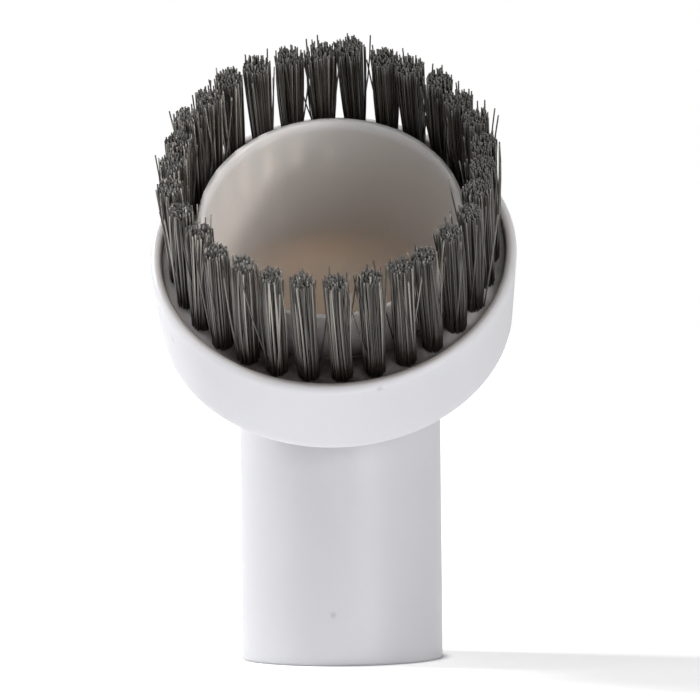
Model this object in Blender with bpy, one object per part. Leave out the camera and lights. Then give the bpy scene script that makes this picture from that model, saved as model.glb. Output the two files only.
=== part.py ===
"""A vacuum cleaner's dusting brush: one moulded body with a ring of bristle tufts set in its head.

The body is a straight socket tube that stands on its open end, a neck that bends toward the front,
and a round head tilted toward the front. The head carries a tall throat, which is the air way, and
around it a shallow trough whose floor holds the tufts. Each tuft is folded round a flat wire anchor
and pressed into its own hole, so the anchor is part of the tuft's node.

Lengths are in metres and +Z is up. The head faces -Y, and the origin lies on the floor under the
middle of the whole part. Head shapes are drawn in the head's own frame: its Z is the axis of the
head, its Y points up the back, and its origin is where that axis crosses the axis of the tube.
"""

import math

import bmesh
import bpy
from mathutils import Matrix, Vector

# Socket tube, which slides over the end of a 32 mm wand.
BORE_RADIUS = 0.0162
BORE_LEAD_IN = 0.0006
TUBE_WALL = 0.0023
TUBE_RADIUS = BORE_RADIUS + TUBE_WALL
TUBE_EDGE_ROUND = 0.0004

# Where the head sits: the height at which its axis crosses the axis of the tube, and its tilt.
AXIS_HEIGHT = 0.0571
HEAD_TILT = math.radians(48.0)

# Rim of the head. Heights in the head run along its axis, and start at that crossing.
RIM_HEIGHT = 0.0277
RIM_RADIUS = 0.0332
RIM_THICKNESS = 0.0021
RIM_ROUND = 0.0011
LIP_ROUND = 0.4 * RIM_ROUND
RIM_INNER_RADIUS = RIM_RADIUS - RIM_THICKNESS

# Skirt: the outer wall of the head, which tapers from the rim down to its free edge.
SKIRT_DEPTH = 0.0174
SKIRT_TAPER = 0.0011
SKIRT_WALL = 0.0021
SKIRT_BOTTOM = RIM_HEIGHT - SKIRT_DEPTH
SKIRT_BOTTOM_RADIUS = RIM_RADIUS - SKIRT_TAPER

# Trough: a shallow ring between rim and throat, whose floor holds the tufts.
TROUGH_DEPTH = 0.0015
TROUGH_WIDTH = 0.0068
FLOOR_FILLET = 0.0003
FLOOR_HEIGHT = RIM_HEIGHT - TROUGH_DEPTH

# Throat: the thin wall round the mouth of the air way.
THROAT_RISE = 0.0092
THROAT_TAPER = 0.0003
THROAT_WALL = 0.0015
THROAT_EDGE_ROUND = 0.0005
THROAT_HEIGHT = RIM_HEIGHT + THROAT_RISE
THROAT_FOOT_RADIUS = RIM_INNER_RADIUS - TROUGH_WIDTH
THROAT_TOP_RADIUS = THROAT_FOOT_RADIUS - THROAT_TAPER
MOUTH_RADIUS = THROAT_TOP_RADIUS - THROAT_WALL

# Blind holes for the tufts, and the hollow of the skirt, which starts under the floor left below them.
HOLE_RADIUS = 0.00225
HOLE_DEPTH = 0.0060
HOLE_FLOOR = 0.0025
HOLE_WEB = 0.0014
HOLLOW_TOP = FLOOR_HEIGHT - HOLE_DEPTH - HOLE_FLOOR

# Duct and neck: where the tube turns into the head, at the front and at the back.
BEND_DROP = 0.0131
DUCT_FRONT_DROP = 0.0046
DUCT_BACK_FLARE = 0.0030
NECK_FRONT_DROP = 0.0060
NECK_BACK_STEP = 0.0008
NECK_OVERLAP = 0.0023
CORNER_ROUND = 0.0060
BEND_START = AXIS_HEIGHT - BEND_DROP
NECK_END = HOLLOW_TOP + NECK_OVERLAP
NECK_BACK_REACH = SKIRT_BOTTOM_RADIUS - NECK_BACK_STEP

# Tufts: as many as the circle takes with the web of plastic between their holes.
TUFT_OUTSET = 0.0004
TUFT_CIRCLE_RADIUS = THROAT_FOOT_RADIUS + TROUGH_WIDTH / 2 + TUFT_OUTSET
TUFT_COUNT = int(2 * math.pi * TUFT_CIRCLE_RADIUS / (2 * HOLE_RADIUS + HOLE_WEB) + 0.5)
TUFT_FIRST_ANGLE = math.radians(10.6)
TUFT_LEAN_IN = math.radians(1.0)
TUFT_LENGTH = 0.0250
ROOT_CLEARANCE = 0.0003
ROOT_SHOULDER = 0.0012
ROOT_RADIUS = HOLE_RADIUS - ROOT_CLEARANCE
ROOT_BOTTOM = ROOT_CLEARANCE - HOLE_DEPTH

# Tips: a tuft fans out until it nearly meets its neighbours, and its locks end at uneven heights.
TIP_GAP = 0.0006
TIP_DEPTH = 0.0058
TIP_RAGGEDNESS = 0.0006
LOCK_COLUMNS = 4
LOCK_ROWS = 3
LOCK_GAP = 0.0001
LOCK_SPREAD = 1.4
TIP_CIRCLE_RADIUS = TUFT_CIRCLE_RADIUS - TUFT_LENGTH * math.sin(TUFT_LEAN_IN)
TIP_WIDTH = 2 * math.pi * TIP_CIRCLE_RADIUS / TUFT_COUNT - TIP_GAP

# Wire anchor across each root, a little wider than the root so that it bites into the hole.
ANCHOR_THICKNESS = 0.0005
ANCHOR_HEIGHT = 0.0020
ANCHOR_LIFT = 0.0010
ANCHOR_OVERHANG = 0.00012

SEGMENTS = 60
HOLE_SEGMENTS = 12
BEND_STEPS = 9
OVERSHOOT = 0.0020

# The tube stands this far behind the origin, which puts the origin midway from tuft tips to tube.
TIP_REACH = math.sin(HEAD_TILT) * (FLOOR_HEIGHT + TUFT_LENGTH) + math.cos(HEAD_TILT) * (
    TUFT_CIRCLE_RADIUS + TIP_DEPTH / 2
)
TUBE_Y = (TIP_REACH - TUBE_RADIUS) / 2
HEAD_FRAME = Matrix.Translation((0.0, TUBE_Y, AXIS_HEIGHT)) @ Matrix.Rotation(HEAD_TILT, 4, "X")


def clear_scene():
    """Removes every object of the file that the script is run in."""
    for obj in list(bpy.data.objects):
        bpy.data.objects.remove(obj, do_unlink=True)


def make_material(name, colour, roughness):
    """A plain plastic material; colour is linear red, green and blue."""
    material = bpy.data.materials.new(name)
    material.use_nodes = True
    shader = material.node_tree.nodes["Principled BSDF"]
    shader.inputs["Base Color"].default_value = (*colour, 1.0)
    shader.inputs["Roughness"].default_value = roughness
    shader.inputs["Metallic"].default_value = 0.0
    material.diffuse_color = (*colour, 1.0)
    return material


def object_from(bm, name, material=None):
    """Puts the finished bmesh in the scene as an object with faces turned outward."""
    bmesh.ops.recalc_face_normals(bm, faces=bm.faces)
    mesh = bpy.data.meshes.new(name)
    bm.to_mesh(mesh)
    bm.free()
    obj = bpy.data.objects.new(name, mesh)
    bpy.context.scene.collection.objects.link(obj)
    if material:
        mesh.materials.append(material)
    return obj


def as_helper(obj):
    """Hides a cutting or joining body from renders and shows it as wires."""
    obj.hide_render = True
    obj.display_type = "WIRE"
    return obj


def boolean(obj, other, operation):
    modifier = obj.modifiers.new(other.name, "BOOLEAN")
    modifier.operation = operation
    modifier.solver = "EXACT"
    modifier.object = other


def head_point(out, up):
    """World Y and Z of a point on the centre plane, `out` up the back and `up` along the head's axis."""
    point = HEAD_FRAME @ Vector((0.0, out, up))
    return Vector((point.y, point.z))


def tube_point(back, height):
    """World Y and Z of a point on the centre plane, `back` behind the axis of the tube."""
    return Vector((TUBE_Y + back, height))


def rail(start, corner, end, rounding, steps):
    """Points at even spacing along a line that turns one rounded corner, start and end included."""
    before = corner + (start - corner).normalized() * rounding
    after = corner + (end - corner).normalized() * rounding
    path = [start]
    for step in range(9):
        t = step / 8
        path.append((1 - t) ** 2 * before + 2 * t * (1 - t) * corner + t**2 * after)
    path.append(end)
    reached = [0.0]
    for first, second in zip(path, path[1:]):
        reached.append(reached[-1] + (second - first).length)
    points = []
    leg = 0
    for step in range(steps + 1):
        wanted = reached[-1] * step / steps
        while leg < len(path) - 2 and reached[leg + 1] < wanted:
            leg += 1
        share = (wanted - reached[leg]) / (reached[leg + 1] - reached[leg])
        points.append(path[leg].lerp(path[leg + 1], min(share, 1.0)))
    return points


def level_section(radius, height):
    """A round section of the straight tube: its front and back points, and its half width across."""
    return tube_point(-radius, height), tube_point(radius, height), radius


def head_section(radius, up):
    """A round section about the axis of the head: front and back points, and half width."""
    return head_point(-radius, up), head_point(radius, up), radius


def bend_sections(front, back, width_start, width_end):
    """Sections between two rails, with the half width easing from one value to the other."""
    made = []
    steps = len(front) - 1
    for step in range(1, steps + 1):
        t = step / steps
        ease = t * t * (3 - 2 * t)
        made.append((front[step], back[step], width_start + (width_end - width_start) * ease))
    return made


def loft(name, sections, material=None):
    """A closed body through the sections: one ring is drawn, then extruded from section to section."""
    bm = bmesh.new()
    ring = bmesh.ops.create_circle(bm, segments=SEGMENTS, radius=1.0)["verts"]
    edges = list(bm.edges)
    angles = [math.atan2(vert.co.y, vert.co.x) for vert in ring]
    for index, (front, back, half_width) in enumerate(sections):
        if index:
            grown = bmesh.ops.extrude_edge_only(bm, edges=edges)["geom"]
            ring = [item for item in grown if isinstance(item, bmesh.types.BMVert)]
            edges = [item for item in grown if isinstance(item, bmesh.types.BMEdge)]
        middle = (front + back) / 2
        reach = (back - front) / 2
        for vert, angle in zip(ring, angles):
            across = half_width * math.cos(angle)
            along = middle + reach * math.sin(angle)
            vert.co = (across, along.x, along.y)
    open_edges = [edge for edge in bm.edges if edge.is_boundary]
    bmesh.ops.holes_fill(bm, edges=open_edges, sides=SEGMENTS)
    return object_from(bm, name, material)


def revolve(name, profile, material=None):
    """A body of revolution about the head's axis; the profile holds radius and height pairs."""
    bm = bmesh.new()
    verts = [bm.verts.new((radius, 0.0, height)) for radius, height in profile]
    edges = [bm.edges.new(pair) for pair in zip(verts, verts[1:])]
    bmesh.ops.spin(
        bm,
        geom=verts + edges,
        cent=(0.0, 0.0, 0.0),
        axis=(0.0, 0.0, 1.0),
        angle=2 * math.pi,
        steps=SEGMENTS,
        use_merge=True,
    )
    bmesh.ops.remove_doubles(bm, verts=bm.verts, dist=0.000001)
    bmesh.ops.transform(bm, matrix=HEAD_FRAME, verts=bm.verts)
    return object_from(bm, name, material)


def arc(centre, radius, start, end, steps):
    """Radius and height pairs along a rounded corner, from one angle in degrees to another."""
    points = []
    for step in range(steps + 1):
        angle = math.radians(start + (end - start) * step / steps)
        points.append((centre[0] + radius * math.cos(angle), centre[1] + radius * math.sin(angle)))
    return points


def skirt_radius(up):
    """Outer radius of the skirt, which tapers so that the moulding leaves its tool."""
    share = (up - SKIRT_BOTTOM) / (RIM_HEIGHT - SKIRT_BOTTOM)
    return SKIRT_BOTTOM_RADIUS + (RIM_RADIUS - SKIRT_BOTTOM_RADIUS) * share


def head_profile():
    """Section of the head from its axis under the floor, round the skirt and the trough, to the throat."""
    rim_side = RIM_HEIGHT - RIM_ROUND
    profile = [
        (0.0, HOLLOW_TOP),
        (skirt_radius(HOLLOW_TOP) - SKIRT_WALL, HOLLOW_TOP),
        (SKIRT_BOTTOM_RADIUS - SKIRT_WALL, SKIRT_BOTTOM),
        (SKIRT_BOTTOM_RADIUS - TUBE_EDGE_ROUND, SKIRT_BOTTOM),
        (skirt_radius(SKIRT_BOTTOM + TUBE_EDGE_ROUND), SKIRT_BOTTOM + TUBE_EDGE_ROUND),
    ]
    profile += arc((skirt_radius(rim_side) - RIM_ROUND, rim_side), RIM_ROUND, 0, 90, 4)
    profile += arc((RIM_INNER_RADIUS + LIP_ROUND, RIM_HEIGHT - LIP_ROUND), LIP_ROUND, 90, 180, 2)
    profile += arc(
        (RIM_INNER_RADIUS - FLOOR_FILLET, FLOOR_HEIGHT + FLOOR_FILLET), FLOOR_FILLET, 0, -90, 2
    )
    profile += arc(
        (THROAT_FOOT_RADIUS + FLOOR_FILLET, FLOOR_HEIGHT + FLOOR_FILLET), FLOOR_FILLET, -90, -180, 2
    )
    profile += arc(
        (THROAT_TOP_RADIUS - THROAT_EDGE_ROUND, THROAT_HEIGHT - THROAT_EDGE_ROUND),
        THROAT_EDGE_ROUND,
        0,
        90,
        3,
    )
    profile.append((0.0, THROAT_HEIGHT))
    return profile


def duct_corners():
    """Centre-plane points where the duct turns; the back one is flared out past the edge of the mouth."""
    rise = (MOUTH_RADIUS + DUCT_BACK_FLARE - BORE_RADIUS * math.cos(HEAD_TILT)) / math.sin(HEAD_TILT)
    front = tube_point(-BORE_RADIUS, AXIS_HEIGHT - DUCT_FRONT_DROP)
    return front, tube_point(BORE_RADIUS, AXIS_HEIGHT + rise)


def neck_front_end():
    """Where the neck's front ends in the floor of the head: a tube wall in front of the duct."""
    corner, _ = duct_corners()
    mouth = head_point(-MOUTH_RADIUS, THROAT_HEIGHT - THROAT_EDGE_ROUND)
    above = head_point(0.0, NECK_END) - corner
    up_the_axis = head_point(0.0, 1.0) - head_point(0.0, 0.0)
    share = above.dot(up_the_axis) / (mouth - corner).dot(up_the_axis)
    return corner.lerp(mouth, share) - (head_point(TUBE_WALL, 0.0) - head_point(0.0, 0.0))


def neck_sections():
    """Outside of the tube and neck, from the open end into the floor of the head."""
    up_the_back = (NECK_BACK_REACH * math.cos(HEAD_TILT) - TUBE_RADIUS) / math.sin(HEAD_TILT)
    front = rail(
        tube_point(-TUBE_RADIUS, BEND_START),
        tube_point(-TUBE_RADIUS, AXIS_HEIGHT - NECK_FRONT_DROP),
        neck_front_end(),
        0.4 * CORNER_ROUND,
        BEND_STEPS,
    )
    back = rail(
        tube_point(TUBE_RADIUS, BEND_START),
        head_point(NECK_BACK_REACH, up_the_back),
        head_point(NECK_BACK_REACH, NECK_END),
        1.5 * CORNER_ROUND,
        BEND_STEPS,
    )
    sections = [
        level_section(TUBE_RADIUS - TUBE_EDGE_ROUND, 0.0),
        level_section(TUBE_RADIUS, TUBE_EDGE_ROUND),
        level_section(TUBE_RADIUS, BEND_START),
    ]
    return sections + bend_sections(front, back, TUBE_RADIUS, THROAT_FOOT_RADIUS)


def duct_sections():
    """The air way: the bore with its lead-in, the bend, and the throat with its rounded inner edge."""
    mouth_start = THROAT_HEIGHT - THROAT_EDGE_ROUND
    front_corner, back_corner = duct_corners()
    front = rail(
        tube_point(-BORE_RADIUS, BEND_START),
        front_corner,
        head_point(-MOUTH_RADIUS, mouth_start),
        0.8 * CORNER_ROUND,
        BEND_STEPS,
    )
    back = rail(
        tube_point(BORE_RADIUS, BEND_START),
        back_corner,
        head_point(MOUTH_RADIUS, mouth_start),
        0.8 * CORNER_ROUND,
        BEND_STEPS,
    )
    sections = [
        level_section(BORE_RADIUS + BORE_LEAD_IN + OVERSHOOT, -OVERSHOOT),
        level_section(BORE_RADIUS, BORE_LEAD_IN),
        level_section(BORE_RADIUS, BEND_START),
    ]
    sections += bend_sections(front, back, BORE_RADIUS, MOUTH_RADIUS)
    sections += [
        head_section(MOUTH_RADIUS + 0.3 * THROAT_EDGE_ROUND, THROAT_HEIGHT - 0.3 * THROAT_EDGE_ROUND),
        head_section(MOUTH_RADIUS + THROAT_EDGE_ROUND, THROAT_HEIGHT + 0.2 * THROAT_EDGE_ROUND),
        head_section(MOUTH_RADIUS + THROAT_EDGE_ROUND, THROAT_HEIGHT + OVERSHOOT),
    ]
    return sections


def tuft_frames():
    """Where each tuft stands: on the trough floor, its Y pointing outward, leaning in a little."""
    frames = []
    for index in range(TUFT_COUNT):
        angle = TUFT_FIRST_ANGLE + 2 * math.pi * index / TUFT_COUNT
        frames.append(
            HEAD_FRAME
            @ Matrix.Rotation(angle - math.pi / 2, 4, "Z")
            @ Matrix.Translation((0.0, TUFT_CIRCLE_RADIUS, FLOOR_HEIGHT))
        )
    return frames


def hole_cutters():
    """All the blind tuft holes as one cutting body of separate round pegs."""
    bm = bmesh.new()
    height = HOLE_DEPTH + OVERSHOOT / 4
    for frame in tuft_frames():
        bmesh.ops.create_cone(
            bm,
            cap_ends=True,
            segments=HOLE_SEGMENTS,
            radius1=HOLE_RADIUS,
            radius2=HOLE_RADIUS,
            depth=height,
            matrix=frame @ Matrix.Translation((0.0, 0.0, height / 2 - HOLE_DEPTH)),
        )
    return object_from(bm, "hole_pegs")


def make_body(material):
    body = revolve("body", head_profile(), material)
    boolean(body, as_helper(loft("neck", neck_sections())), "UNION")
    boolean(body, as_helper(loft("duct", duct_sections())), "DIFFERENCE")
    boolean(body, as_helper(hole_cutters()), "DIFFERENCE")
    return body


def finished_mesh(obj):
    """The mesh of an object after its modifiers, for objects that share it."""
    bpy.context.view_layer.update()
    graph = bpy.context.evaluated_depsgraph_get()
    return bpy.data.meshes.new_from_object(obj.evaluated_get(graph))


def round_off(x, y):
    """Moves a point of the square from -1 to 1 to the disc of radius 1."""
    return x * math.sqrt(1 - y * y / 2), y * math.sqrt(1 - x * x / 2)


def spread_tips(locks):
    """Moves the locks' top faces to the tips: they draw apart, and together they fill the tip's size."""
    for index, face in enumerate(locks):
        centre = face.calc_center_median()
        height = TUFT_LENGTH + TIP_RAGGEDNESS * math.sin(2.4 * index)
        for vert in face.verts:
            vert.co += centre * (LOCK_SPREAD - 1)
            vert.co.z = height
    verts = [vert for face in locks for vert in face.verts]
    widen = TIP_WIDTH / 2 / max(vert.co.x for vert in verts)
    deepen = TIP_DEPTH / 2 / max(vert.co.y for vert in verts)
    for vert in verts:
        vert.co.x *= widen
        vert.co.y *= deepen


def make_tuft_mesh(material):
    """One tuft about its own Z: a root that fills its hole, and locks of bristle that fan out from it."""
    bm = bmesh.new()
    bmesh.ops.create_grid(bm, x_segments=LOCK_COLUMNS, y_segments=LOCK_ROWS, size=1.0)
    for vert in bm.verts:
        x, y = round_off(vert.co.x, vert.co.y)
        vert.co = (x * ROOT_RADIUS, y * ROOT_RADIUS, ROOT_BOTTOM)
    grown = bmesh.ops.extrude_face_region(bm, geom=list(bm.faces))["geom"]
    top_faces = [item for item in grown if isinstance(item, bmesh.types.BMFace)]
    top_verts = [item for item in grown if isinstance(item, bmesh.types.BMVert)]
    bmesh.ops.translate(bm, vec=(0.0, 0.0, ROOT_SHOULDER - ROOT_BOTTOM), verts=top_verts)
    bottom = [face for face in bm.faces if all(v.co.z < ROOT_BOTTOM + 1e-6 for v in face.verts)]
    bmesh.ops.dissolve_faces(bm, faces=bottom)
    bmesh.ops.recalc_face_normals(bm, faces=bm.faces)
    bmesh.ops.inset_individual(bm, faces=top_faces, thickness=LOCK_GAP)
    spread_tips(bmesh.ops.extrude_discrete_faces(bm, faces=top_faces)["faces"])
    root = object_from(bm, "tuft_root", material)

    bm = bmesh.new()
    bmesh.ops.create_cube(bm, size=1.0)
    length = 2 * (ROOT_RADIUS + ANCHOR_OVERHANG)
    bmesh.ops.scale(bm, vec=(length, ANCHOR_THICKNESS, ANCHOR_HEIGHT), verts=bm.verts)
    lift = ROOT_BOTTOM + ANCHOR_LIFT + ANCHOR_HEIGHT / 2
    bmesh.ops.translate(bm, vec=(0.0, 0.0, lift), verts=bm.verts)
    anchor = as_helper(object_from(bm, "anchor"))

    boolean(root, anchor, "UNION")
    mesh = finished_mesh(root)
    mesh.name = "tuft"
    bpy.data.objects.remove(root)
    bpy.data.objects.remove(anchor)
    return mesh


def make_tufts(material):
    mesh = make_tuft_mesh(material)
    for index, frame in enumerate(tuft_frames()):
        tuft = bpy.data.objects.new(f"tuft_{index + 1:02d}", mesh)
        tuft.matrix_world = frame @ Matrix.Rotation(TUFT_LEAN_IN, 4, "X")
        bpy.context.scene.collection.objects.link(tuft)


def shade(obj):
    """Smooth faces with crisp edges where two faces meet at more than 35 degrees."""
    obj.data.shade_smooth()
    obj.data.set_sharp_from_angle(angle=math.radians(35.0))


def main():
    clear_scene()
    plastic = make_material("moulded_plastic", (0.72, 0.72, 0.74), 0.38)
    bristle = make_material("dark_bristle", (0.080, 0.075, 0.070), 0.55)
    body = make_body(plastic)
    shade(body)
    make_tufts(bristle)


main()
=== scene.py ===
"""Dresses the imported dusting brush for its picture.

It is a light grey moulding that stands on its socket tube, with a ring of dark bristle tufts round the open throat of
its tilted head. Every length is in metres. The head's shapes are given by two numbers: how far out from the head's
axis, and how far up along it.
"""

import math

import bpy
import numpy as np
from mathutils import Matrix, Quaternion, Vector


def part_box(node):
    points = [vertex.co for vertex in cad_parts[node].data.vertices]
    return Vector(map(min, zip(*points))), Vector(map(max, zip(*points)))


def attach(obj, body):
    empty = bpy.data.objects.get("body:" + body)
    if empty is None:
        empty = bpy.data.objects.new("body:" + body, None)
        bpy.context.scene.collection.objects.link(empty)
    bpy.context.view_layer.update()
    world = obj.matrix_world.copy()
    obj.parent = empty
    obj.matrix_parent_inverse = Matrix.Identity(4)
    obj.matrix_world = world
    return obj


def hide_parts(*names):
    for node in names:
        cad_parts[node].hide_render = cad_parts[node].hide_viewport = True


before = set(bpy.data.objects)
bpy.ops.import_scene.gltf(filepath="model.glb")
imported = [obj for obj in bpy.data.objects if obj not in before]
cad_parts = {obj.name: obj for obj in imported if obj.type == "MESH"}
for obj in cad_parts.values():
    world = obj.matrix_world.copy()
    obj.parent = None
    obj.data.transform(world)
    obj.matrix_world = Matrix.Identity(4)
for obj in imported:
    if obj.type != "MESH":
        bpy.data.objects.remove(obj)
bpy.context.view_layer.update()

# Camera and studio.
# The picture was taken from about a metre away, a little right of the head's centre plane and almost level, with the
# brush leaning half a degree in the frame. Numbers come from a camera fitted to the rims and edges in the photograph.
TUBE_RADIUS = 0.0185
TUBE_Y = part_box("body")[1].y - TUBE_RADIUS
CAMERA_AIM = Vector((0.001937, TUBE_Y, 0.056826))
CAMERA_DISTANCE = 1.0
CAMERA_ELEVATION = math.radians(1.881)
CAMERA_AZIMUTH = math.radians(2.53)
CAMERA_ROLL = math.radians(-0.593)
SENSOR_WIDTH_MM = 36.0
LENS_IN_IMAGE_WIDTHS = 7.741

camera_data = bpy.data.cameras.new("studio_camera")
camera_data.sensor_width = SENSOR_WIDTH_MM
camera_data.lens = SENSOR_WIDTH_MM * LENS_IN_IMAGE_WIDTHS
camera_data.clip_start = 0.05
camera_data.clip_end = 20.0
camera = bpy.data.objects.new("studio_camera", camera_data)
bpy.context.scene.collection.objects.link(camera)
bpy.context.scene.camera = camera
toward_camera = Vector(
    (
        math.sin(CAMERA_AZIMUTH) * math.cos(CAMERA_ELEVATION),
        -math.cos(CAMERA_AZIMUTH) * math.cos(CAMERA_ELEVATION),
        math.sin(CAMERA_ELEVATION),
    )
)
camera.location = CAMERA_AIM + toward_camera * CAMERA_DISTANCE
camera.rotation_mode = "QUATERNION"
camera.rotation_quaternion = toward_camera.to_track_quat("Z", "Y") @ Quaternion((0, 0, 1), CAMERA_ROLL)
bpy.context.scene.view_settings.view_transform = "Standard"


# The room: it looks pure white, and lights the brush only dimly, so that the open throat stays dark.
# Rays from the camera, in a reflection or through something clear see it white, and those that light see it dim.
AMBIENT_LEVEL = 0.19


def linear(hex_colour):
    """Linear red, green, blue and alpha of an sRGB hex colour: ((c + 0.055) / 1.055) ** 2.4, or c / 12.92 near 0."""
    channels = np.array([int(hex_colour[i : i + 2], 16) / 255 for i in (1, 3, 5)])
    linear_part = np.where(channels <= 0.04045, channels / 12.92, ((channels + 0.055) / 1.055) ** 2.4)
    return (*linear_part.tolist(), 1.0)


def add_node(tree, kind, inputs=None, **settings):
    """Adds a node, applies its settings, and sets or links each named or numbered input."""
    node = tree.nodes.new(kind)
    for name, value in settings.items():
        setattr(node, name, value)
    for name, value in (inputs or {}).items():
        if isinstance(value, bpy.types.NodeSocket):
            tree.links.new(value, node.inputs[name])
        else:
            node.inputs[name].default_value = value
    return node


world = bpy.data.worlds.new("white_studio")
world.use_nodes = True
tree = world.node_tree
tree.nodes.clear()
rays = add_node(tree, "ShaderNodeLightPath").outputs
mirrored = add_node(tree, "ShaderNodeMath", {0: rays["Is Camera Ray"], 1: rays["Is Glossy Ray"]}, operation="MAXIMUM")
shown = add_node(tree, "ShaderNodeMath", {0: mirrored.outputs[0], 1: rays["Is Transmission Ray"]}, operation="MAXIMUM")
strength = add_node(tree, "ShaderNodeMapRange", {"Value": shown.outputs[0], "To Min": AMBIENT_LEVEL, "To Max": 1.0})
background = add_node(tree, "ShaderNodeBackground", {"Color": linear("#ffffff"), "Strength": strength.outputs[0]})
add_node(tree, "ShaderNodeOutputWorld", {"Surface": background.outputs[0]})
bpy.context.scene.world = world

# The floor is a white light table: it glows up at the brush from below, and keeps the shadow that the side lamp casts.
# Away from the brush it brightens to plain white, so that no far edge shows. Within about two millimetres of the tube's
# end an occlusion node dims its glow almost to nothing: a painted contact shadow under the brush.
FLOOR_HALF = 2.0
TABLE_GLOW = 0.33
CONTACT_SHADE_REACH = 0.0022


def new_material(name):
    """An empty node material and its output node."""
    material = bpy.data.materials.new(name)
    material.use_nodes = True
    material.node_tree.nodes.clear()
    return material, add_node(material.node_tree, "ShaderNodeOutputMaterial")


corners = np.array([(-1, -1, 0), (1, -1, 0), (1, 1, 0), (-1, 1, 0)]) * FLOOR_HALF
floor_mesh = bpy.data.meshes.new("light_table")
floor_mesh.from_pydata(corners.tolist(), [], [(0, 1, 2, 3)])
floor = bpy.data.objects.new("light_table", floor_mesh)
bpy.context.scene.collection.objects.link(floor)

# Frosted acrylic, lit from inside: an even matt white.
table, table_output = new_material("glowing_white_acrylic")
tree = table.node_tree
matt = add_node(tree, "ShaderNodeBsdfDiffuse", {"Color": linear("#f2f2f3")})
camera_only = add_node(tree, "ShaderNodeLightPath").outputs["Is Camera Ray"]
place = add_node(tree, "ShaderNodeTexCoord").outputs["Object"]
distance = add_node(tree, "ShaderNodeVectorMath", {0: place}, operation="LENGTH").outputs["Value"]
far = add_node(
    tree,
    "ShaderNodeMapRange",
    {"Value": distance, "From Min": 0.16, "From Max": 0.5, "To Min": 0.225, "To Max": 0.9},
    interpolation_type="SMOOTHSTEP",
)
extra = add_node(tree, "ShaderNodeMath", {0: camera_only, 1: far.outputs[0]}, operation="MULTIPLY")
level = add_node(tree, "ShaderNodeMath", {0: extra.outputs[0], 1: TABLE_GLOW}, operation="ADD")
# The occlusion node dims the glow within reach of the tube's end: a painted contact shadow on the floor.
contact_occlusion = add_node(tree, "ShaderNodeAmbientOcclusion", {"Distance": CONTACT_SHADE_REACH}, samples=8)
outside_painted_contact_shade = add_node(
    tree,
    "ShaderNodeMapRange",
    {"Value": contact_occlusion.outputs["AO"], "From Min": 0.5, "From Max": 0.95, "To Min": 0.0, "To Max": 1.0},
)
glow_level = add_node(tree, "ShaderNodeMath", {0: level.outputs[0], 1: outside_painted_contact_shade.outputs[0]}, operation="MULTIPLY")
glow = add_node(tree, "ShaderNodeEmission", {"Color": linear("#ffffff"), "Strength": glow_level.outputs[0]})
both = add_node(tree, "ShaderNodeAddShader", {0: matt.outputs[0], 1: glow.outputs[0]})
tree.links.new(both.outputs[0], table_output.inputs["Surface"])
floor_mesh.materials.append(table)


# The key softbox stands high at the left, a little behind the brush. A dimmer one low at the front right draws the
# upright streak on the tube, and a third, high at the front left, lifts the tips and the trough.
HEAD_MIDDLE = (0.0, 0.0, 0.075)


def soft_lamp(name, place, aim, width, height, watts, colour):
    """A studio softbox of the given width and height, turned to its aim."""
    data = bpy.data.lights.new(name, "AREA")
    data.shape = "RECTANGLE"
    data.size = width
    data.size_y = height
    data.energy = watts
    data.color = linear(colour)[:3]
    lamp = bpy.data.objects.new(name, data)
    bpy.context.scene.collection.objects.link(lamp)
    lamp.location = place
    lamp.rotation_mode = "QUATERNION"
    lamp.rotation_quaternion = (Vector(place) - Vector(aim)).to_track_quat("Z", "Y")


soft_lamp("key_softbox", (-0.97, 0.30, 0.925), HEAD_MIDDLE, 0.30, 0.32, 14.9, "#ffffff")
soft_lamp("front_softbox", (0.67, -0.99, 0.20), HEAD_MIDDLE, 0.50, 0.50, 4.7, "#ffffff")
soft_lamp("top_softbox", (-0.50, -0.42, 1.05), HEAD_MIDDLE, 0.50, 0.50, 1.5, "#ffffff")

# A snoot, a small lamp with a long hood, shines past the tips into the throat and picks out the left of its wall,
# as the lit plastic itself seems to do in the photograph.
THROAT_WALL = Vector((-0.0195, 0.0040, 0.0865))
TOWARD_SNOOT = Vector((0.773, -0.584, 0.248)).normalized()
SNOOT_DISTANCE = 0.22
snoot_data = bpy.data.lights.new("throat_snoot", "SPOT")
snoot_data.energy = 2.30
snoot_data.color = linear("#fffaf4")[:3]
snoot_data.shadow_soft_size = 0.028
snoot_data.spot_size = math.radians(12.2)
snoot_data.spot_blend = 1.0
snoot = bpy.data.objects.new("throat_snoot", snoot_data)
bpy.context.scene.collection.objects.link(snoot)
snoot.location = THROAT_WALL + TOWARD_SNOOT * SNOOT_DISTANCE
snoot.rotation_mode = "QUATERNION"
snoot.rotation_quaternion = TOWARD_SNOOT.to_track_quat("Z", "Y")


# The body: one injection moulding in light grey polypropylene, with its tube, neck, skirt, trough and throat. Nothing
# is fixed to it but the tufts. Its surface is a single closed skin, a stack of rings that runs up the bore and the
# duct, over the throat, across the trough, over the rim, down and up under the skirt, and back down the outside.
RING_POINTS = 224
BEND_RINGS = 72
HEAD_TILT = math.radians(48.0)
AXIS_HEIGHT = 0.0571
BORE_RADIUS, BORE_LEAD_IN = 0.0162, 0.0006
EDGE_ROUND = 0.0004
BEND_START = 0.0440
DUCT_FRONT_CORNER, DUCT_FRONT_ROUNDING = 0.0525, 0.0048
DUCT_BACK_CORNER, DUCT_BACK_ROUNDING = 0.0768, 0.0036
NECK_FRONT_CORNER, NECK_FRONT_ROUNDING, NECK_BACK_ROUNDING = 0.0511, 0.0024, 0.0090
NECK_FRONT_REACH, NECK_BACK_REACH, NECK_END, NECK_END_HALF_WIDTH = 0.0199, 0.0313, 0.0200, 0.0243
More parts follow.
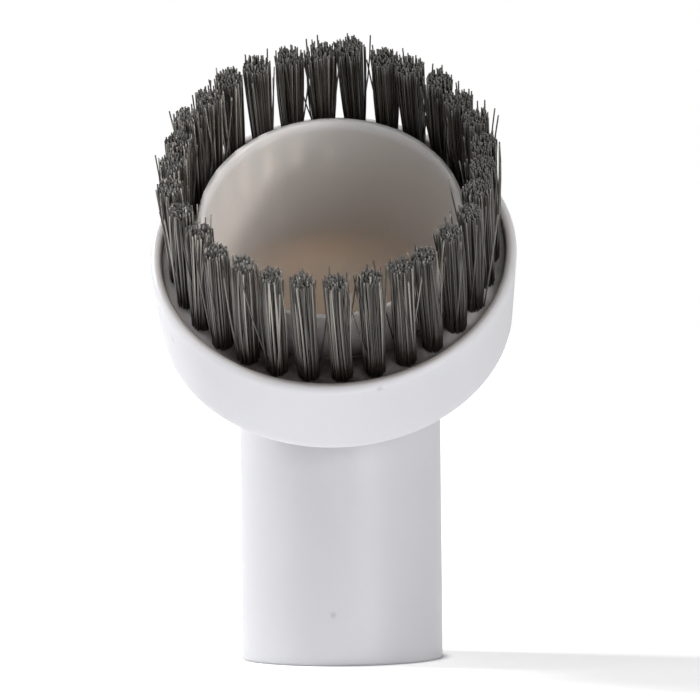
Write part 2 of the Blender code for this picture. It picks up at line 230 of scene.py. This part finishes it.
RIM_HEIGHT, RIM_RADIUS, RIM_INNER_RADIUS, RIM_ROUND, RIM_INNER_ROUND = 0.0277, 0.0332, 0.0311, 0.0011, 0.00044
SKIRT_BOTTOM, SKIRT_BOTTOM_RADIUS, SKIRT_WALL, SKIRT_INNER_ROUND = 0.0103, 0.0321, 0.0021, 0.0002
FLOOR_HEIGHT, FILLET = 0.0262, 0.0003
HOLLOW_TOP, HOLLOW_ROUND = 0.0177, 0.001
THROAT_HEIGHT, THROAT_TOP_RADIUS, THROAT_FOOT_RADIUS, MOUTH_RADIUS = 0.0369, 0.0240, 0.0243, 0.0225
LIP_DEPTH, LIP_WIDTH, LIP_OUTER_ROUND = 0.0018, 0.0009, 0.0003


def head_line(points):
    """Centre-plane Y and Z of head points, given as how far out up the head's back and how far up along its axis: both
    are turned by the head's tilt about the point where its axis crosses the tube's."""
    out, up = np.asarray(points, float).T
    y = TUBE_Y + out * math.cos(HEAD_TILT) - up * math.sin(HEAD_TILT)
    z = AXIS_HEIGHT + out * math.sin(HEAD_TILT) + up * math.cos(HEAD_TILT)
    return np.stack([y, z], axis=1)


def tube_line(points):
    """Centre-plane Y and Z of tube points given as the distance behind the tube's axis and the height."""
    return np.asarray(points, float) + (TUBE_Y, 0.0)


def smooth_run(start, end, count):
    """Points of a straight run, closer together at its two ends: start + (end - start) * (1 - cos(pi t)) / 2."""
    share = (1 - np.cos(np.pi * np.linspace(0, 1, count))) / 2
    return np.asarray(start) + (np.asarray(end) - np.asarray(start)) * share[:, None]


def corner_arc(centre, radius, start, end, count):
    """Points of a round or oval corner: centre + radius * (cos a, sin a), with a in degrees from start to end."""
    angle = np.radians(np.linspace(start, end, count))
    return np.asarray(centre) + np.asarray(radius) * np.stack([np.cos(angle), np.sin(angle)], axis=1)


def rail(start, corner, end, rounding):
    """Evenly spaced points of a line that turns one corner, rounded by the curve (1-t)^2 a + 2t(1-t) c + t^2 b."""
    before = corner + (start - corner) / np.linalg.norm(start - corner) * rounding
    after = corner + (end - corner) / np.linalg.norm(end - corner) * rounding
    t = np.linspace(0, 1, 33)[:, None]
    bend = (1 - t) ** 2 * before + 2 * t * (1 - t) * corner + t**2 * after
    path = np.concatenate([start[None], bend, end[None]])
    reached = np.concatenate([[0], np.cumsum(np.linalg.norm(np.diff(path, axis=0), axis=1))])
    wanted = np.linspace(0, reached[-1], BEND_RINGS)
    return np.stack([np.interp(wanted, reached, path[:, axis]) for axis in (0, 1)], axis=1)


def ring_stack(front, back, half_width):
    """Rings between two rails: x = w cos a, and y, z = middle + half the way from front to back * sin a."""
    angle = np.linspace(0, 2 * np.pi, RING_POINTS, endpoint=False)
    middle, reach = (front + back) / 2, (back - front) / 2
    x = half_width[:, None] * np.cos(angle)
    yz = middle[:, None] + reach[:, None] * np.sin(angle)[None, :, None]
    return np.concatenate([x[:, :, None], yz], axis=2)


def round_rings(line, profile):
    """Round rings about the axis of a line, one for each radius and height of the profile."""
    profile = np.asarray(profile, float)
    return ring_stack(line(profile * (-1, 1)), line(profile), profile[:, 0])


def eased_width(start, end):
    """Half widths along the bend: start + (end - start) * t^2 (3 - 2t)."""
    t = np.linspace(0, 1, BEND_RINGS)
    return start + (end - start) * t * t * (3 - 2 * t)


def skin_mesh(name, rings):
    """Joins ring to ring, and the last to the first, with four-sided faces that point outward."""
    count, around = rings.shape[:2]
    ring, point = np.meshgrid(np.arange(count), np.arange(around), indexing="ij")
    this, following = ring * around, (ring + 1) % count * around
    beside = (point + 1) % around
    faces = np.stack([this + point, following + point, following + beside, this + beside], axis=-1).reshape(-1, 4)
    mesh = bpy.data.meshes.new(name)
    mesh.vertices.add(count * around)
    mesh.vertices.foreach_set("co", rings.reshape(-1).astype(np.float32))
    mesh.loops.add(faces.size)
    mesh.loops.foreach_set("vertex_index", faces.reshape(-1).astype(np.int32))
    mesh.polygons.add(len(faces))
    mesh.polygons.foreach_set("loop_start", np.arange(0, faces.size, 4, dtype=np.int32))
    mesh.update(calc_edges=True)
    mesh.shade_smooth()
    return mesh


duct_front = rail(
    tube_line([(-BORE_RADIUS, BEND_START)])[0],
    tube_line([(-BORE_RADIUS, DUCT_FRONT_CORNER)])[0],
    head_line([(-MOUTH_RADIUS, THROAT_HEIGHT - LIP_DEPTH)])[0],
    DUCT_FRONT_ROUNDING,
)
duct_back = rail(
    tube_line([(BORE_RADIUS, BEND_START)])[0],
    tube_line([(BORE_RADIUS, DUCT_BACK_CORNER)])[0],
    head_line([(MOUTH_RADIUS, THROAT_HEIGHT - LIP_DEPTH)])[0],
    DUCT_BACK_ROUNDING,
)
duct = ring_stack(duct_front, duct_back, eased_width(BORE_RADIUS, MOUTH_RADIUS))

neck_back_corner = (NECK_BACK_REACH * math.cos(HEAD_TILT) - TUBE_RADIUS) / math.sin(HEAD_TILT)
neck_front = rail(
    tube_line([(-TUBE_RADIUS, BEND_START)])[0],
    tube_line([(-TUBE_RADIUS, NECK_FRONT_CORNER)])[0],
    head_line([(-NECK_FRONT_REACH, NECK_END)])[0],
    NECK_FRONT_ROUNDING,
)
neck_back = rail(
    tube_line([(TUBE_RADIUS, BEND_START)])[0],
    head_line([(NECK_BACK_REACH, neck_back_corner)])[0],
    head_line([(NECK_BACK_REACH, NECK_END)])[0],
    NECK_BACK_ROUNDING,
)
neck = ring_stack(neck_front, neck_back, eased_width(TUBE_RADIUS, NECK_END_HALF_WIDTH))

# The head from the mouth outward: the throat's lip, which opens in a soft bell inside and is crisp outside, the
# throat's outer wall, the trough's floor, the rim, and the skirt down to its free edge and up to its hollow's ceiling.
rim_side = RIM_HEIGHT - RIM_ROUND
lip_side = THROAT_HEIGHT - LIP_OUTER_ROUND
skirt_slope = (RIM_RADIUS - SKIRT_BOTTOM_RADIUS) / (RIM_HEIGHT - SKIRT_BOTTOM)
skirt_top_radius = SKIRT_BOTTOM_RADIUS + skirt_slope * (rim_side - SKIRT_BOTTOM)
skirt_inner = SKIRT_BOTTOM_RADIUS - SKIRT_WALL
skirt_edge = SKIRT_BOTTOM + SKIRT_INNER_ROUND
hollow_radius = SKIRT_BOTTOM_RADIUS + skirt_slope * (HOLLOW_TOP - SKIRT_BOTTOM) - SKIRT_WALL
hollow_side = HOLLOW_TOP - HOLLOW_ROUND
head_profile = np.concatenate(
    [
        corner_arc((MOUTH_RADIUS + LIP_WIDTH, THROAT_HEIGHT - LIP_DEPTH), (LIP_WIDTH, LIP_DEPTH), 180, 90, 16),
        corner_arc((THROAT_TOP_RADIUS - LIP_OUTER_ROUND, lip_side), LIP_OUTER_ROUND, 90, 0, 8)[1:],
        smooth_run((THROAT_TOP_RADIUS, lip_side), (THROAT_FOOT_RADIUS, FLOOR_HEIGHT + FILLET), 18)[1:-1],
        corner_arc((THROAT_FOOT_RADIUS + FILLET, FLOOR_HEIGHT + FILLET), FILLET, 180, 270, 6),
        smooth_run((THROAT_FOOT_RADIUS + FILLET, FLOOR_HEIGHT), (RIM_INNER_RADIUS - FILLET, FLOOR_HEIGHT), 16)[1:-1],
        corner_arc((RIM_INNER_RADIUS - FILLET, FLOOR_HEIGHT + FILLET), FILLET, 270, 360, 6),
        corner_arc((RIM_INNER_RADIUS + RIM_INNER_ROUND, RIM_HEIGHT - RIM_INNER_ROUND), RIM_INNER_ROUND, 180, 90, 8),
        corner_arc((skirt_top_radius - RIM_ROUND, rim_side), RIM_ROUND, 90, 0, 12),
        smooth_run((skirt_top_radius, rim_side), (SKIRT_BOTTOM_RADIUS, SKIRT_BOTTOM + EDGE_ROUND), 24)[1:-1],
        corner_arc((SKIRT_BOTTOM_RADIUS - EDGE_ROUND, SKIRT_BOTTOM + EDGE_ROUND), EDGE_ROUND, 0, -90, 6),
        corner_arc((skirt_inner + SKIRT_INNER_ROUND, skirt_edge), SKIRT_INNER_ROUND, -90, -180, 4),
        smooth_run((skirt_inner, skirt_edge), (hollow_radius, hollow_side), 14)[1:-1],
        corner_arc((hollow_radius - HOLLOW_ROUND, hollow_side), HOLLOW_ROUND, 0, 90, 7),
    ]
)
head = round_rings(head_line, head_profile)
# Two rings that lie hidden inside the wall carry the skin from the hollow's ceiling over to the end of the neck.
HIDDEN_FRONT_REACHES, HIDDEN_WIDTH_INSETS, HIDDEN_BACK_REACH = (0.0188, 0.0195), (0.0004, 0.0003), 0.0310
hidden = ring_stack(
    head_line([(-HIDDEN_FRONT_REACHES[0], HOLLOW_TOP), (-HIDDEN_FRONT_REACHES[1], NECK_END)]),
    head_line([(HIDDEN_BACK_REACH, HOLLOW_TOP), (HIDDEN_BACK_REACH, NECK_END)]),
    NECK_END_HALF_WIDTH - np.array(HIDDEN_WIDTH_INSETS),
)
share = np.linspace(0, 1, 8)[1:, None, None]
ceiling = head[-1] + (hidden[0] - head[-1]) * share
bore_up = np.concatenate(
    [
        smooth_run((BORE_RADIUS + BORE_LEAD_IN, 0.0), (BORE_RADIUS, BORE_LEAD_IN), 4)[:-1],
        smooth_run((BORE_RADIUS, BORE_LEAD_IN), (BORE_RADIUS, BEND_START), 22)[:-1],
    ]
)
tube_down = np.concatenate(
    [
        smooth_run((TUBE_RADIUS, BEND_START), (TUBE_RADIUS, EDGE_ROUND), 22)[1:-1],
        corner_arc((TUBE_RADIUS - EDGE_ROUND, EDGE_ROUND), EDGE_ROUND, 0, -90, 6),
        smooth_run((TUBE_RADIUS - EDGE_ROUND, 0.0), (BORE_RADIUS + BORE_LEAD_IN, 0.0), 6)[1:-1],
    ]
)
bore, tube = round_rings(tube_line, bore_up), round_rings(tube_line, tube_down)
rings = np.concatenate([bore, duct[:-1], head, ceiling, hidden[1:], neck[::-1], tube])
moulding = bpy.data.objects.new("moulded_body", skin_mesh("moulded_body", rings))
bpy.context.scene.collection.objects.link(moulding)

# How much pale warm film each ring has: full in the bore, fading up the duct, less in the trough and least on the lip.
# The film is partly dust and partly painted warm bounce light, which lightens the bore and warms the throat and lip.
TOLERANCE, RIM_GRIME_AND_SHADE_REACH = 0.0001, 0.0012
head_start = len(bore_up) + BEND_RINGS - 1
on_head = slice(head_start, head_start + len(head_profile))
radius, height = head_profile.T
above_floor = height - FLOOR_HEIGHT
on_lip = (radius < THROAT_FOOT_RADIUS) & (height > THROAT_HEIGHT - LIP_DEPTH - TOLERANCE)
between_walls = (radius > THROAT_TOP_RADIUS - TOLERANCE) & (radius < RIM_INNER_RADIUS + RIM_GRIME_AND_SHADE_REACH)
in_trough = between_walls & (above_floor > -TOLERANCE)
dust_and_painted_bounce = np.zeros(len(rings))
dust_and_painted_bounce[: len(bore_up)] = 1.0
dust_and_painted_bounce[len(bore_up) : head_start] = np.interp(duct_back[:-1, 1], [0.0785, 0.0805, 0.0950], [1.0, 0.66, 0.52])
dust_and_painted_bounce[on_head] = np.where(in_trough, 0.4, 0.35 * on_lip)

# How dark each point is painted, partly lint and grease and partly painted shade: the trough's floor between the
# throat and the tufts all round, and out to the rim at the front and the two sides, where the tufts and rim shade it.
# The darkening thins out up the throat's foot and over the rim's inner edge, where it reaches less far at the left,
# the side that the key softbox lights.
around = np.linspace(0, 2 * np.pi, RING_POINTS, endpoint=False)
toward_front, toward_left = -np.sin(around), np.clip(-np.cos(around), 0, 1)
on_throat = np.interp(above_floor, [0.0, 0.0015, 0.0050, 0.0090], [1.0, 0.80, 0.25, 0.0])
on_floor = np.interp(radius, [0.0268, 0.0288], [0.9, 0.0])
past_rim = radius[:, None] - RIM_INNER_RADIUS + 0.00045 * toward_left
on_rim = np.interp(past_rim, [0.0, 0.0005, RIM_GRIME_AND_SHADE_REACH], [0.9, 0.5, 0.0])
grime_and_shade_around = np.interp(toward_front, [-0.6, -0.4, 0.14, 0.32], [0.0, 1.0, 1.0, 0.0]) * (0.75 - 0.45 * toward_left)
grime_and_shade_around += np.interp(toward_front, [0.55, 0.85], [0.0, 1.0])
over_floor = on_floor[:, None] + (1 - on_floor)[:, None] * grime_and_shade_around
off_floor = np.where((radius < THROAT_FOOT_RADIUS + FILLET)[:, None], on_throat[:, None], on_rim)
level_floor = in_trough & (above_floor < TOLERANCE)
grime_and_painted_shade = np.zeros((len(rings), RING_POINTS))
grime_and_painted_shade[on_head] = np.where(level_floor[:, None], over_floor, off_floor) * in_trough[:, None]
for name, values in (("dust_and_painted_bounce", np.repeat(dust_and_painted_bounce, RING_POINTS)), ("grime_and_painted_shade", grime_and_painted_shade.reshape(-1))):
    layer = moulding.data.attributes.new(name, "FLOAT", "POINT")
    layer.data.foreach_set("value", values.astype(np.float32))

# Polypropylene, injection moulded and lightly satin: soft broad highlights, a trace of light inside thin edges, and a
# fine even grain left by the tool. The grain is really about 0.05 mm; it is drawn at 0.25 mm so that it shows at all.
# A film of pale brown dust that is also painted warm bounce light, dark grime mixed with painted shade, and three small
# grey scuffs lie over the grey. A noise's scale is one over the size of its patches in metres: clouding 26 mm, smudges
# 6 mm. FIRST_COLOUR, SECOND_COLOUR and MIXED number a mix's sockets.
CLOUDING_SCALE, SMUDGE_SCALE, GRAIN_SCALE = 38.0, 160.0, 4000.0
FIRST_COLOUR, SECOND_COLOUR, MIXED = 6, 7, 2
SCUFFS = ((-0.0008, 0.0017, 0.0093), (0.0090, -0.0210, 0.0512), (-0.0287, -0.0065, 0.0598))
plastic, plastic_output = new_material("satin_moulded_polypropylene")
tree = plastic.node_tree
place = add_node(tree, "ShaderNodeTexCoord").outputs["Object"]
clouding = add_node(
    tree,
    "ShaderNodeTexNoise",
    {"Vector": place, "Scale": CLOUDING_SCALE, "Detail": 3.0, "Roughness": 0.55},
)
tone = add_node(
    tree,
    "ShaderNodeMix",
    {"Factor": clouding.outputs["Fac"], FIRST_COLOUR: linear("#d6d6da"), SECOND_COLOUR: linear("#dcdcdf")},
    data_type="RGBA",
)
# The film's pale warm colour is partly dust and partly painted warm bounce light inside the head.
dust_and_bounce_amount = add_node(tree, "ShaderNodeAttribute", attribute_name="dust_and_painted_bounce").outputs["Fac"]
dust_and_bounce_film = add_node(tree, "ShaderNodeMath", {0: dust_and_bounce_amount, 1: 0.9}, operation="MULTIPLY")
tone = add_node(
    tree,
    "ShaderNodeMix",
    {"Factor": dust_and_bounce_film.outputs[0], FIRST_COLOUR: tone.outputs[MIXED], SECOND_COLOUR: linear("#e2d9ce")},
    data_type="RGBA",
)
# This dark brown is partly lint and grease and partly painted shade in the trough and at the rim's inner edge.
grime_and_shade_amount = add_node(tree, "ShaderNodeAttribute", attribute_name="grime_and_painted_shade").outputs["Fac"]
smudges = add_node(
    tree,
    "ShaderNodeTexNoise",
    {"Vector": place, "Scale": SMUDGE_SCALE, "Detail": 4.0, "Roughness": 0.6},
)
smudged = add_node(
    tree,
    "ShaderNodeMapRange",
    {"Value": smudges.outputs["Fac"], "From Min": 0.35, "From Max": 0.65, "To Min": 0.75, "To Max": 1.0},
)
caked_and_shaded = add_node(tree, "ShaderNodeMath", {0: grime_and_shade_amount, 1: smudged.outputs[0]}, operation="MULTIPLY")
tone = add_node(
    tree,
    "ShaderNodeMix",
    {"Factor": caked_and_shaded.outputs[0], FIRST_COLOUR: tone.outputs[MIXED], SECOND_COLOUR: linear("#3d332a")},
    data_type="RGBA",
)
# The scuffs are low on the tube's front, and at the front and left of the skirt.
for spot in SCUFFS:
    away = add_node(tree, "ShaderNodeVectorMath", {0: place, 1: spot}, operation="DISTANCE").outputs["Value"]
    scuff = add_node(
        tree,
        "ShaderNodeMapRange",
        {"Value": away, "From Min": 0.0001, "From Max": 0.0008, "To Min": 0.3, "To Max": 0.0},
    )
    tone = add_node(
        tree,
        "ShaderNodeMix",
        {"Factor": scuff.outputs[0], FIRST_COLOUR: tone.outputs[MIXED], SECOND_COLOUR: linear("#7d7873")},
        data_type="RGBA",
    )
grain = add_node(
    tree,
    "ShaderNodeTexNoise",
    {"Vector": place, "Scale": GRAIN_SCALE, "Detail": 2.0, "Roughness": 0.6},
)
grain_bump = add_node(tree, "ShaderNodeBump", {"Height": grain.outputs["Fac"], "Strength": 0.10, "Distance": 0.00002})
sheen_patches = add_node(tree, "ShaderNodeMapRange", {"Value": clouding.outputs["Fac"], "To Min": 0.34, "To Max": 0.44})
shader = add_node(
    tree,
    "ShaderNodeBsdfPrincipled",
    {
        "Base Color": tone.outputs[MIXED],
        "Roughness": sheen_patches.outputs[0],
        "IOR": 1.49,
        "Subsurface Weight": 1.0,
        "Subsurface Radius": (1.0, 0.93, 0.86),
        "Subsurface Scale": 0.0030,
        "Normal": grain_bump.outputs[0],
    },
)
tree.links.new(shader.outputs[0], plastic_output.inputs["Surface"])
moulding.data.materials.append(plastic)
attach(moulding, "root")
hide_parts("body")


# The tufts: thirty bundles of dark nylon filament, each folded in half round a wire anchor and pressed into its hole.
# The filaments fill the hole, spread on their way up, and were sheared level after filling: most ends are even to a
# tenth of a millimetre, some are off by half a millimetre, and a few filaments stray across to the next tuft.
TUFT_COUNT = 30
TUFT_CIRCLE = 0.0281
FIRST_TUFT_ANGLE = math.radians(10.6)
LEAN_IN, LEAN_SHAKE = math.radians(1.0), 0.012
FIRST_SEED = 4100
FILAMENTS = 132
FILAMENT_RADIUS = 0.000145
FILAMENT_SIDES = 5
FILAMENT_RINGS = 6
GOLDEN_ANGLE = 2.39996
ROOT_RADIUS, ROOT_DEPTH = 0.00190, 0.0010
TUFT_LENGTH = 0.0250
TIP_SPREAD, TIP_TURN, TIP_SHAKE, TUFT_SHIFT = 1.10, 0.10, 0.00016, 0.00028
BACK_NARROWER, BACK_WIDER = 0.22, 0.26
STRAY_SHARE, STRAY_REACH = 0.10, 0.0015
CROSSING_SHARE, CROSSING_TURN, CROSSING_REACH = 0.06, (-0.9, 1.0), 0.0010
BOW, BOW_OUT = 0.00016, 0.10
SHEAR_SHAKE, SHEAR_CROWN = 0.00009, 0.00035
UNEVEN_SHARE, UNEVEN_RISE, UNEVEN_SHAKE = 0.06, 0.0001, 0.0005


def filament_paths(rng, back):
    """Centre lines in the tuft's own axes. Roots fill a disc evenly, by the golden angle. Tips lie at the root's place
    times the spread, turned a little and shaken, and a few stray far. Between them a line runs root + (tip - root) *
    t + bow * 4t(1-t). Tufts at the back of the head, where back is 1, start narrower and fan out more."""
    count = np.arange(FILAMENTS)
    angle = count * GOLDEN_ANGLE + rng.uniform(0, 2 * np.pi)
    share = np.sqrt((count + 0.5) / FILAMENTS)
    radius = ROOT_RADIUS * (1 - BACK_NARROWER * back) * share
    root = np.stack([radius * np.cos(angle), radius * np.sin(angle)], axis=1)
    turned = angle + rng.normal(0, TIP_TURN)
    radius = ROOT_RADIUS * (TIP_SPREAD + BACK_WIDER * back) * share
    tip = np.stack([radius * np.cos(turned), radius * np.sin(turned)], axis=1)
    tip += rng.normal(0, TIP_SHAKE, (FILAMENTS, 2)) + rng.normal(0, TUFT_SHIFT, 2)
    strays = rng.random(FILAMENTS) < STRAY_SHARE
    tip[strays] += rng.normal(0, STRAY_REACH, (strays.sum(), 2))
    crossing = rng.random(FILAMENTS) < CROSSING_SHARE
    tip[crossing] = tip[crossing] * CROSSING_TURN + rng.normal(0, CROSSING_REACH, (crossing.sum(), 2))
    t = np.linspace(0, 1, FILAMENT_RINGS)
    bow = rng.normal(0, BOW, (FILAMENTS, 2)) + BOW_OUT * (tip - root)
    across = root[:, None] + (tip - root)[:, None] * t[None, :, None] + bow[:, None] * (4 * t * (1 - t))[None, :, None]
    height = TUFT_LENGTH + rng.normal(0, SHEAR_SHAKE, FILAMENTS) - SHEAR_CROWN * share**2
    uneven = rng.random(FILAMENTS) < UNEVEN_SHARE
    height += np.where(uneven, rng.normal(UNEVEN_RISE, UNEVEN_SHAKE, FILAMENTS), 0.0)
    up = -ROOT_DEPTH + (height[:, None] + ROOT_DEPTH) * t[None]
    return np.concatenate([across, up[:, :, None]], axis=2)


def filament_mesh(name, paths, rng, pale_and_lit_limit):
    """Five-sided rods round the centre lines, each closed at both ends. The UV map's first number is each rod's
    paleness, by chance and up to the given limit, which carries painted light and shade; its second is the way along
    the rod."""
    strands, steps = paths.shape[:2]
    turn = 2 * np.pi * np.arange(FILAMENT_SIDES) / FILAMENT_SIDES
    spin = rng.uniform(0, 2 * np.pi, strands)
    angle = spin[:, None] + turn[None]
    offset = np.stack([np.cos(angle), np.sin(angle), np.zeros_like(angle)], axis=-1) * FILAMENT_RADIUS
    points = paths[:, :, None] + offset[:, None]
    strand, step, side = np.meshgrid(np.arange(strands), np.arange(steps - 1), np.arange(FILAMENT_SIDES), indexing="ij")
    beside = (side + 1) % FILAMENT_SIDES
    base = (strand * steps + step) * FILAMENT_SIDES
    above = base + FILAMENT_SIDES
    walls = np.stack([base + side, base + beside, above + beside, above + side], axis=-1).reshape(-1, 4)
    first = np.arange(strands)[:, None] * steps * FILAMENT_SIDES
    foot = first + np.arange(FILAMENT_SIDES)[::-1]
    cut = first + (steps - 1) * FILAMENT_SIDES + np.arange(FILAMENT_SIDES)
    corners = np.concatenate([walls.reshape(-1), foot.reshape(-1), cut.reshape(-1)]).astype(np.int32)
    sizes = np.concatenate([np.full(len(walls), 4), np.full(2 * strands, FILAMENT_SIDES)])
    finish = np.concatenate([np.zeros(len(walls) + strands), np.ones(strands)])
    mesh = bpy.data.meshes.new(name)
    mesh.vertices.add(points.size // 3)
    mesh.vertices.foreach_set("co", points.reshape(-1).astype(np.float32))
    mesh.loops.add(len(corners))
    mesh.loops.foreach_set("vertex_index", corners)
    mesh.polygons.add(len(sizes))
    mesh.polygons.foreach_set("loop_start", np.concatenate([[0], np.cumsum(sizes)[:-1]]).astype(np.int32))
    mesh.update(calc_edges=True)
    mesh.polygons.foreach_set("use_smooth", sizes == 4)
    mesh.polygons.foreach_set("material_index", finish.astype(np.int32))
    chance = np.repeat(rng.random(strands) * pale_and_lit_limit, steps * FILAMENT_SIDES)
    along = np.tile(np.repeat(np.linspace(0, 1, steps), FILAMENT_SIDES), strands)
    layer = mesh.uv_layers.new(name="filament")
    layer.data.foreach_set("uv", np.stack([chance, along], axis=1)[corners].reshape(-1).astype(np.float32))
    return mesh


def in_head(points, angle, lean):
    """Places tuft points on the head: lean about the root, move out to the tuft circle, turn round the axis, tilt."""
    x, y, z = np.moveaxis(points, -1, 0)
    y, z = y * math.cos(lean) - z * math.sin(lean), y * math.sin(lean) + z * math.cos(lean)
    y, z = y + TUFT_CIRCLE, z + FLOOR_HEIGHT
    turn = angle - math.pi / 2
    x, y = x * math.cos(turn) - y * math.sin(turn), x * math.sin(turn) + y * math.cos(turn)
    y, z = y * math.cos(HEAD_TILT) - z * math.sin(HEAD_TILT), y * math.sin(HEAD_TILT) + z * math.cos(HEAD_TILT)
    return np.stack([x, y + TUBE_Y, z + AXIS_HEIGHT], axis=-1)


# Drawn nylon, dyed dark grey: each filament is a smooth rod that catches a thin line of light along its length.
# Filaments differ in tone, since dust has paled some of them, and their roots are darkened brown-black towards the
# floor: painted shade of the deep trough, with some grease and lint.
filament, filament_output = new_material("dyed_nylon_filament")
tree = filament.node_tree
strand_uv = add_node(tree, "ShaderNodeUVMap", uv_map="filament").outputs[0]
strand_map = add_node(tree, "ShaderNodeSeparateXYZ", {0: strand_uv})
dye = add_node(tree, "ShaderNodeValToRGB", {"Fac": strand_map.outputs["X"]})
dye.color_ramp.elements[0].color = linear("#302d29")
dye.color_ramp.elements[1].color = linear("#c2bdb4")
middle_dye = dye.color_ramp.elements.new(0.55)
middle_dye.color = linear("#57544f")
# The roots are darkened towards the floor: painted shade of the deep trough, with some grease.
root_grease_and_shade = add_node(
    tree,
    "ShaderNodeMapRange",
    {"Value": strand_map.outputs["Y"], "From Min": 0.12, "From Max": 0.70, "To Min": 0.98, "To Max": 0.0},
)
root_greased_and_shaded = add_node(
    tree,
    "ShaderNodeMix",
    {"Factor": root_grease_and_shade.outputs[0], FIRST_COLOUR: dye.outputs["Color"], SECOND_COLOUR: linear("#241e19")},
    data_type="RGBA",
)
shader = add_node(
    tree,
    "ShaderNodeBsdfPrincipled",
    {"Base Color": root_greased_and_shaded.outputs[MIXED], "Roughness": 0.30, "IOR": 1.53},
)
tree.links.new(shader.outputs[0], filament_output.inputs["Surface"])

# The sheared ends of the same nylon are torn and dull, and grey with dust.
sheared, sheared_output = new_material("sheared_filament_end")
tree = sheared.node_tree
strand_uv = add_node(tree, "ShaderNodeUVMap", uv_map="filament").outputs[0]
strand_map = add_node(tree, "ShaderNodeSeparateXYZ", {0: strand_uv})
fray = add_node(
    tree,
    "ShaderNodeMix",
    {"Factor": strand_map.outputs["X"], FIRST_COLOUR: linear("#2c2c2b"), SECOND_COLOUR: linear("#7e7e7d")},
    data_type="RGBA",
)
shader = add_node(tree, "ShaderNodeBsdfPrincipled", {"Base Color": fray.outputs[MIXED], "Roughness": 0.75})
tree.links.new(shader.outputs[0], sheared_output.inputs["Surface"])

# Tufts at the front and left may have paler filaments and sheared ends, and those at the back and right darker ones:
# painted light where the lamps fall on the tufts, and painted shade where they do not.
for index in range(TUFT_COUNT):
    rng = np.random.default_rng(FIRST_SEED + index)
    angle = FIRST_TUFT_ANGLE + 2 * math.pi * index / TUFT_COUNT
    back, right = (1 + math.sin(angle)) / 2, math.cos(angle)
    paths = filament_paths(rng, back)
    lean = LEAN_IN + rng.normal(0, LEAN_SHAKE)
    name = f"bristles_{index + 1:02d}"
    # The paleness limit carries painted light at the front and left and painted shade at the back and right.
    mesh = filament_mesh(name, paths, rng, 0.95 - 0.30 * back - 0.18 * right)
    local = np.empty(len(mesh.vertices) * 3, np.float32)
    mesh.vertices.foreach_get("co", local)
    placed = in_head(local.reshape(-1, 3), angle, lean)
    mesh.vertices.foreach_set("co", placed.reshape(-1).astype(np.float32))
    mesh.update()
    mesh.materials.append(filament)
    mesh.materials.append(sheared)
    bristles = bpy.data.objects.new(name, mesh)
    bpy.context.scene.collection.objects.link(bristles)
    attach(bristles, "root")
    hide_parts(f"tuft_{index + 1:02d}")
